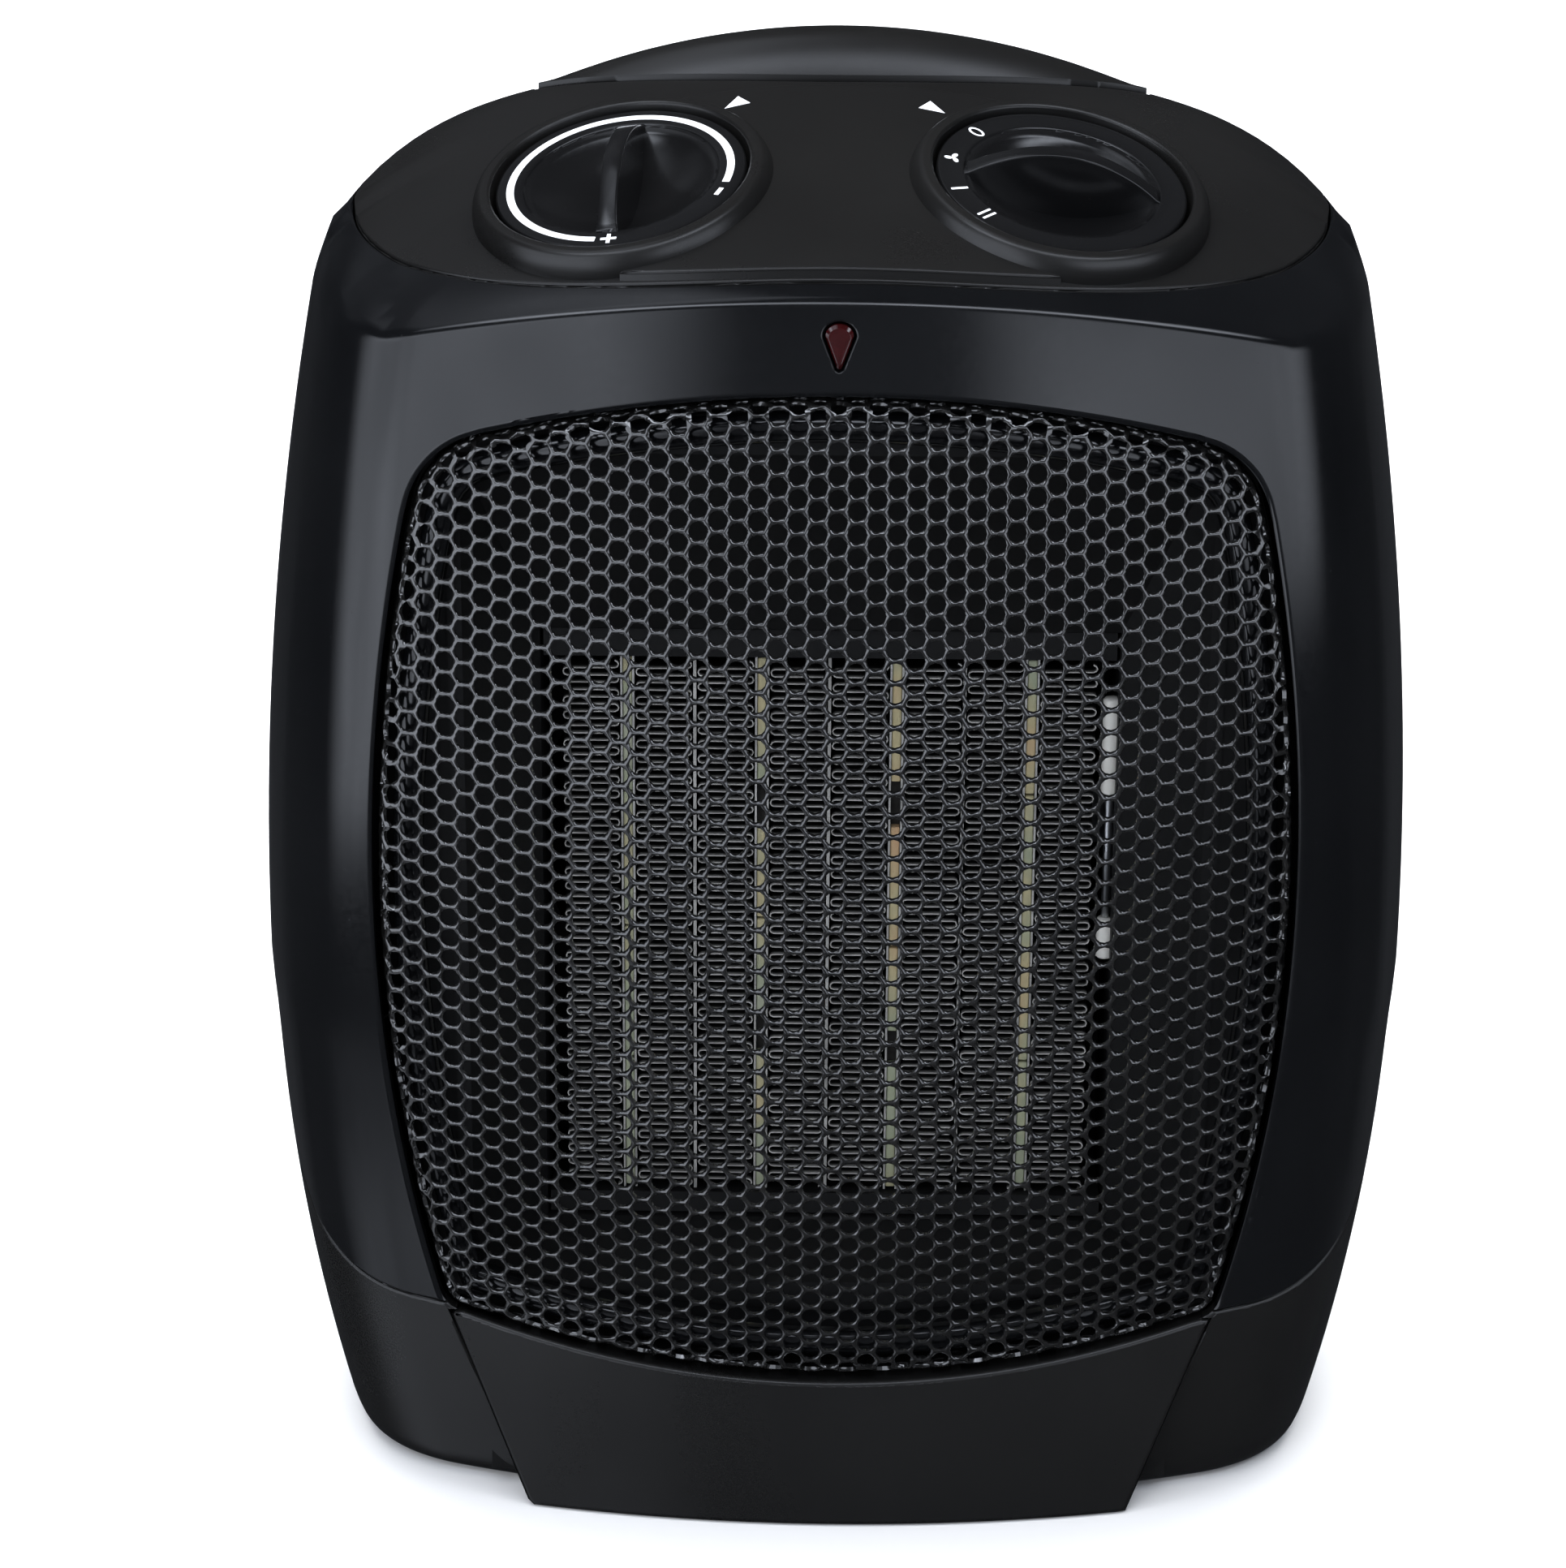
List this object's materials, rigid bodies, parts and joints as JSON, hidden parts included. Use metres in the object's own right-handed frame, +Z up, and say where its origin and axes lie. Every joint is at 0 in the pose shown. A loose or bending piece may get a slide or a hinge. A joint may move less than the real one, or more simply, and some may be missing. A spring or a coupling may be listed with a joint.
{
  "type": "ceramic space heater",
  "caption": "Upright black ceramic fan heater: arched case with a domed perforated grille over a finned element, sloping top panel with two dished dials and a rear carrying grip.",
  "frame": {"origin": "on the floor under the middle of the case", "axes": "+Z up, the grille faces -Y, +X to the right seen from the front"},
  "size_m": [0.191, 0.1458, 0.2385],
  "materials": {
    "gloss_black": "high gloss moulded ABS",
    "satin_black": "fine satin moulded ABS",
    "grille_black": "gloss black enamel on perforated steel",
    "duct_black": "heat resistant phenolic",
    "fin_aluminium": "mill finish, heat darkened",
    "ptc_ceramic": "ceramic stones in a bonded aluminium sleeve",
    "white_insulator": "glazed white insulator",
    "steel": "plain steel",
    "copper_coil": "enamelled copper winding under tape",
    "brass": "turned brass",
    "foot_rubber": "matt rubber",
    "lens_red": "clear dark red",
    "lead_red": "silicone sleeved wire",
    "lead_white": "silicone sleeved wire"
  },
  "bodies": {
    "case": {"front_housing": "gloss_black", "rear_housing": "satin_black", "top_cover": "satin_black", "base_tray": "satin_black", "front_apron": "satin_black", "grip_cup": "satin_black", "handle": "satin_black", "front_grille": "grille_black", "indicator_lens": "lens_red", "neon_lamp": "white_insulator", "thermostat_body": "white_insulator", "mode_switch_body": "duct_black", "element_frame_top": "duct_black", "element_frame_bottom": "duct_black", "air_duct": "duct_black", "fan_shroud": "duct_black", "motor_stator": "steel", "motor_coil": "copper_coil", "motor_bracket": "steel", "motor_rear_bridge": "steel", "bearing_front": "brass", "bearing_rear": "brass", "thermal_cutoff": "white_insulator", "tip_switch_body": "duct_black", "cord_gland": "foot_rubber", "terminal_block": "white_insulator", "thermostat_lead": "lead_red", "switch_lead": "lead_white", "ptc_bar_1": "ptc_ceramic", "ptc_bar_2": "ptc_ceramic", "ptc_bar_3": "ptc_ceramic", "ptc_bar_4": "ptc_ceramic", "fin_pack_1": "fin_aluminium", "fin_pack_2": "fin_aluminium", "fin_pack_3": "fin_aluminium", "fin_pack_4": "fin_aluminium", "fin_pack_5": "fin_aluminium", "fin_pack_6": "fin_aluminium", "fin_pack_7": "fin_aluminium", "fin_pack_8": "fin_aluminium", "separator_plate_1": "fin_aluminium", "separator_plate_2": "fin_aluminium", "separator_plate_3": "fin_aluminium", "foot_front_left": "foot_rubber", "foot_front_right": "foot_rubber", "foot_rear_left": "foot_rubber", "foot_rear_right": "foot_rubber", "screw_lower_left": "steel", "screw_lower_right": "steel", "screw_upper_left": "steel", "screw_upper_right": "steel"},
    "thermostat_dial": {"thermostat_knob": "gloss_black", "thermostat_shaft": "brass"},
    "mode_dial": {"mode_knob": "gloss_black", "mode_switch_shaft": "white_insulator"},
    "fan": {"fan_blade": "duct_black", "fan_shaft": "steel", "motor_rotor": "fin_aluminium"},
    "tip_plunger": {"tip_switch_plunger": "white_insulator"}
  },
  "joints": [
    {"name": "thermostat_turn", "type": "hinge", "parent": "case", "child": "thermostat_dial", "pos_m": [-0.0345, -0.0309, 0.21956], "axis": [-0.1449, -0.3333, 0.9316], "range_deg": [-220, 64]},
    {"name": "mode_turn", "type": "hinge", "parent": "case", "child": "mode_dial", "pos_m": [0.0345, -0.0309, 0.21956], "axis": [0.1449, -0.3333, 0.9316], "range_deg": [-90, 0]},
    {"name": "fan_spin", "type": "hinge", "parent": "case", "child": "fan", "pos_m": [0, 0.01, 0.095], "axis": [0, 1, 0], "continuous": true},
    {"name": "tip_press", "type": "slide", "parent": "case", "child": "tip_plunger", "axis": [0, 0, -1], "range_m": [0, 0.004], "stiffness_N_per_m": 100, "springref_m": 0.006}
  ]
}
